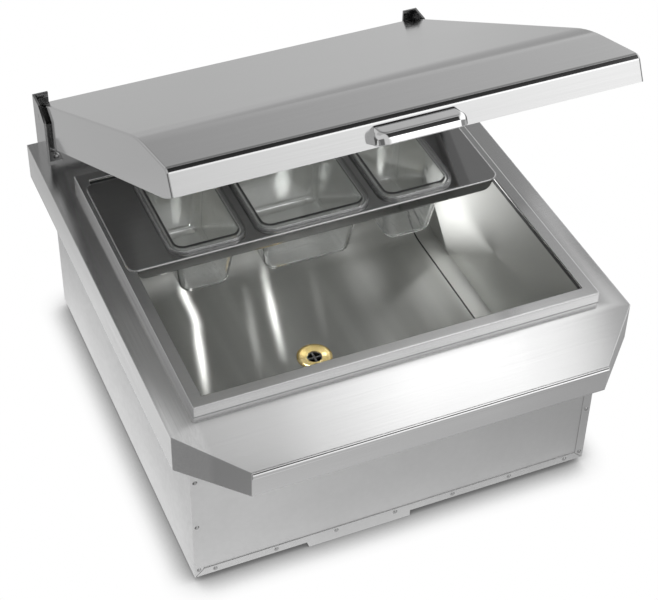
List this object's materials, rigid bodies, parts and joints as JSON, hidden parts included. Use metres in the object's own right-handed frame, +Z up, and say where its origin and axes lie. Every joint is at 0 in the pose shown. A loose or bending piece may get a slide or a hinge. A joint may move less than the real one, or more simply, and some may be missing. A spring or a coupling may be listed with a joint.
{
  "type": "drop-in cooler",
  "caption": "Drop-in counter cooler: stainless deck with apron, insulated bin with drain, hinged insulated lid with pull, and a sliding tray that holds clear food pans.",
  "frame": {"origin": "under the middle of the unit's outline, on the plane it stands on", "axes": "+X to the right as seen from the front, +Y to the rear (the hinge side), +Z up"},
  "size_m": [0.61, 0.682, 0.6491],
  "materials": {
    "deck_steel": "brushed stainless steel",
    "liner_steel": "satin stainless steel",
    "casing_steel": "dull galvanised sheet",
    "lid_steel": "brushed stainless steel, bright lip",
    "tray_steel": "smooth stainless steel",
    "bracket_steel": "thick stainless plate",
    "fixing_steel": "plated fixings",
    "pull_chrome": "bright chrome",
    "drain_brass": "turned brass",
    "dark_plastic": "dark moulded plastic",
    "sealant": "black sealant and rubber",
    "foam": "rigid insulating foam",
    "clear_plastic": "clear moulded plastic"
  },
  "bodies": {
    "cabinet": {"deck_top": "deck_steel", "coaming": "deck_steel", "breaker_strip": "dark_plastic", "bin_liner": "liner_steel", "floor_seam_sealant": "sealant", "bin_insulation": "foam", "left_side_panel": "casing_steel", "right_side_panel": "casing_steel", "front_panel": "casing_steel", "rear_panel": "casing_steel", "bottom_pan": "casing_steel", "drain_channel": "casing_steel", "front_casing_rivets": "fixing_steel", "rear_casing_rivets": "fixing_steel", "drain_fitting": "drain_brass", "drain_strainer": "dark_plastic", "drain_washer": "sealant", "drain_locknut": "drain_brass", "left_hinge_bracket": "bracket_steel", "right_hinge_bracket": "bracket_steel", "bracket_screws": "fixing_steel", "left_pivot_pin": "fixing_steel", "right_pivot_pin": "fixing_steel", "left_pivot_washer": "dark_plastic", "right_pivot_washer": "dark_plastic"},
    "lid": {"lid_shell": "lid_steel", "lid_liner": "liner_steel", "lid_insulation": "foam", "left_lid_bush": "dark_plastic", "right_lid_bush": "dark_plastic", "lid_pull": "pull_chrome", "pull_screws": "fixing_steel"},
    "tray": {"pan_tray": "tray_steel"},
    "left_pan_body": {"left_pan": "clear_plastic"},
    "middle_pan_body": {"middle_pan": "clear_plastic"},
    "right_pan_body": {"right_pan": "clear_plastic"}
  },
  "joints": [
    {"name": "lid_hinge", "type": "hinge", "parent": "cabinet", "child": "lid", "pos_m": [0, 0.3148, 0.3524], "axis": [-1, 0, 0], "range_deg": [-29.6, 75]},
    {"name": "tray_slide", "type": "slide", "parent": "cabinet", "child": "tray", "axis": [0, 1, 0], "range_m": [-0.236, 0]},
    {"name": "left_pan_lift", "type": "slide", "parent": "tray", "child": "left_pan_body", "axis": [0, 0, 1], "range_m": [0, 0.06]},
    {"name": "middle_pan_lift", "type": "slide", "parent": "tray", "child": "middle_pan_body", "axis": [0, 0, 1], "range_m": [0, 0.06]},
    {"name": "right_pan_lift", "type": "slide", "parent": "tray", "child": "right_pan_body", "axis": [0, 0, 1], "range_m": [0, 0.06]}
  ]
}
